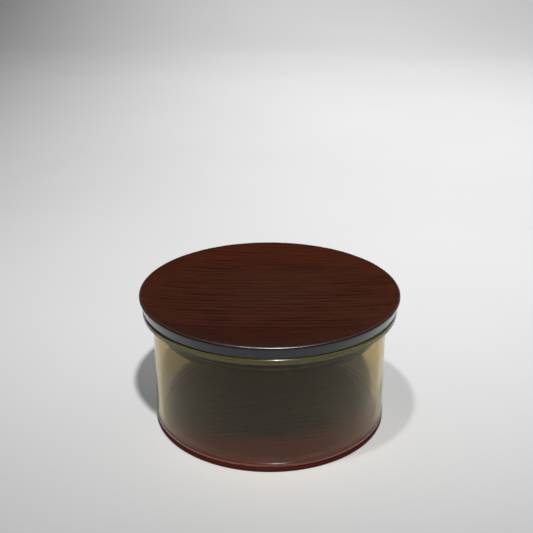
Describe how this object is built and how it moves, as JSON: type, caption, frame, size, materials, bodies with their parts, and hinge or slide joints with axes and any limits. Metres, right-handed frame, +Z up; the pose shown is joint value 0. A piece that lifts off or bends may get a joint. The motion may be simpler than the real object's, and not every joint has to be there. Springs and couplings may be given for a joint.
{
  "type": "lidded glass canister",
  "caption": "Low round glass jar on a thin wooden base disc, closed by a dished wooden lid whose plug and gasket lift out of the rolled mouth.",
  "frame": {"origin": "centre of the underside of the wooden base disc, where the jar's axis meets the surface it stands on", "axes": "+Z is up along the jar's axis of revolution; +X lies along the lid's grain; -Y is the front"},
  "size_m": [0.1408, 0.1408, 0.0742],
  "materials": {
    "base_wood": "dark red-brown stained wood, satin lacquer",
    "olive_glass": "clear polished olive-amber glass",
    "gasket_silicone": "milky translucent silicone, matte",
    "plug_wood": "dark stained wood, satin",
    "lid_wood": "dark red-brown stained wood, satin lacquer, fine straight grain"
  },
  "bodies": {
    "jar": {"base_disc": "base_wood", "glass_jar": "olive_glass"},
    "seal": {"gasket": "gasket_silicone"},
    "lid": {"lid_plug": "plug_wood", "lid_disc": "lid_wood"}
  },
  "joints": [
    {"name": "lid_lift", "type": "slide", "parent": "jar", "child": "seal", "axis": [0, 0, 1], "range_m": [0, 0.06]},
    {"name": "lid_turn", "type": "hinge", "parent": "seal", "child": "lid", "pos_m": [0, 0, 0.0675], "axis": [0, 0, 1], "continuous": true}
  ]
}
